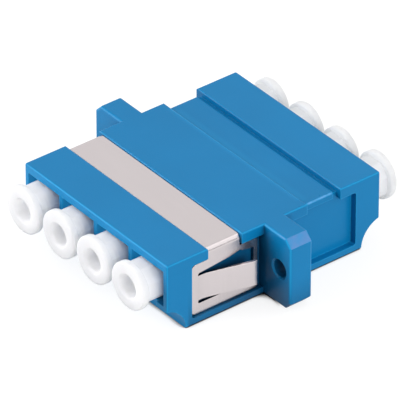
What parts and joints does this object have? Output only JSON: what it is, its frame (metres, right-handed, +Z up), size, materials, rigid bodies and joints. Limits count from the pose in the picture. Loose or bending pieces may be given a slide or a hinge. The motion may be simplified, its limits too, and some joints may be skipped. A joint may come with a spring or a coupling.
{
  "type": "lc fibre adapter",
  "caption": "Blue panel adapter that joins LC fibre plugs end to end, with flange ears, a sprung steel panel clip and a pull-out dust cap in every port",
  "frame": {"origin": "on the flat underside, below the centre of the body", "axes": "+X across the row of ports, +Y along the ports towards the rear side, +Z up; the latch side of the ports faces down"},
  "size_m": [0.0352, 0.0362, 0.0093],
  "materials": {
    "blue_plastic": "moulded, satin",
    "spring_steel": "rolled stainless strip, fine grain along the strip",
    "white_plastic": "moulded, soft satin, slightly translucent",
    "zirconia": "ground and polished"
  },
  "bodies": {
    "adapter": {"front_housing": "blue_plastic", "rear_housing": "blue_plastic", "panel_clip": "spring_steel", "split_sleeve_1": "zirconia", "split_sleeve_2": "zirconia", "split_sleeve_3": "zirconia", "split_sleeve_4": "zirconia"},
    "cap_front_1": {"dust_cap_front_1": "white_plastic"},
    "cap_front_2": {"dust_cap_front_2": "white_plastic"},
    "cap_front_3": {"dust_cap_front_3": "white_plastic"},
    "cap_front_4": {"dust_cap_front_4": "white_plastic"},
    "cap_rear_1": {"dust_cap_rear_1": "white_plastic"},
    "cap_rear_2": {"dust_cap_rear_2": "white_plastic"},
    "cap_rear_3": {"dust_cap_rear_3": "white_plastic"},
    "cap_rear_4": {"dust_cap_rear_4": "white_plastic"}
  },
  "joints": [
    {"name": "pull_front_cap_1", "type": "slide", "parent": "adapter", "child": "cap_front_1", "axis": [0, -1, 0], "range_m": [0, 0.0125]},
    {"name": "pull_front_cap_2", "type": "slide", "parent": "adapter", "child": "cap_front_2", "axis": [0, -1, 0], "range_m": [0, 0.0125]},
    {"name": "pull_front_cap_3", "type": "slide", "parent": "adapter", "child": "cap_front_3", "axis": [0, -1, 0], "range_m": [0, 0.0125]},
    {"name": "pull_front_cap_4", "type": "slide", "parent": "adapter", "child": "cap_front_4", "axis": [0, -1, 0], "range_m": [0, 0.0125]},
    {"name": "pull_rear_cap_1", "type": "slide", "parent": "adapter", "child": "cap_rear_1", "axis": [0, 1, 0], "range_m": [0, 0.0125]},
    {"name": "pull_rear_cap_2", "type": "slide", "parent": "adapter", "child": "cap_rear_2", "axis": [0, 1, 0], "range_m": [0, 0.0125]},
    {"name": "pull_rear_cap_3", "type": "slide", "parent": "adapter", "child": "cap_rear_3", "axis": [0, 1, 0], "range_m": [0, 0.0125]},
    {"name": "pull_rear_cap_4", "type": "slide", "parent": "adapter", "child": "cap_rear_4", "axis": [0, 1, 0], "range_m": [0, 0.0125]}
  ]
}
